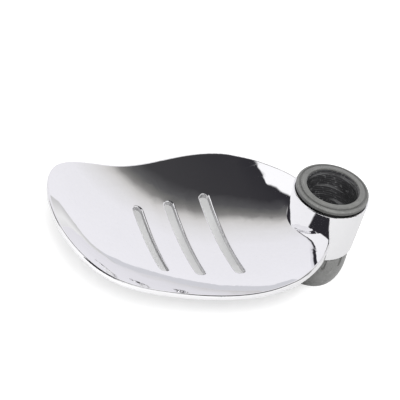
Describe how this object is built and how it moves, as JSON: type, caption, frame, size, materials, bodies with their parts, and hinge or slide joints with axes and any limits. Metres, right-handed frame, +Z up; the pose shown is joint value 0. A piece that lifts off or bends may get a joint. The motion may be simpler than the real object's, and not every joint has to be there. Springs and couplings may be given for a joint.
{
  "type": "shower rail soap dish",
  "caption": "Shallow chrome soap dish with drain slots and a sleeve that turns on a flanged rail bush; a domed collar below it screws up to clamp the riser rail.",
  "frame": {"origin": "on the riser rail's axis, halfway up the dish's sleeve", "axes": "+Z up along the rail, the bowl reaches out along -X, XZ is the bowl's mirror plane"},
  "size_m": [0.1587, 0.0986, 0.0526],
  "materials": {
    "chrome_plate": "polished",
    "grey_plastic": "satin",
    "black_rubber": "satin",
    "dark_plastic": "satin"
  },
  "bodies": {
    "clamp": {"rail_bush": "grey_plastic", "grip_liner": "black_rubber", "friction_ring": "black_rubber"},
    "dish_body": {"dish": "chrome_plate"},
    "clamp_ring_body": {"clamp_ring": "dark_plastic"},
    "collar": {"locking_collar": "grey_plastic"}
  },
  "joints": [
    {"name": "dish_turn", "type": "hinge", "parent": "clamp", "child": "dish_body", "pos_m": [0, 0, 0], "axis": [0, 0, 1], "continuous": true},
    {"name": "clamp_ring_slide", "type": "slide", "parent": "clamp", "child": "clamp_ring_body", "axis": [0, 0, 1], "range_m": [-0.001, 0]},
    {"name": "collar_turn", "type": "hinge", "parent": "clamp_ring_body", "child": "collar", "pos_m": [0, 0, -0.0245], "axis": [0, 0, 1], "range_deg": [-180, 0]}
  ],
  "couplings": [
    {"joint": "clamp_ring_slide", "follows": "collar_turn", "m_per_rad": 0.000318}
  ]
}
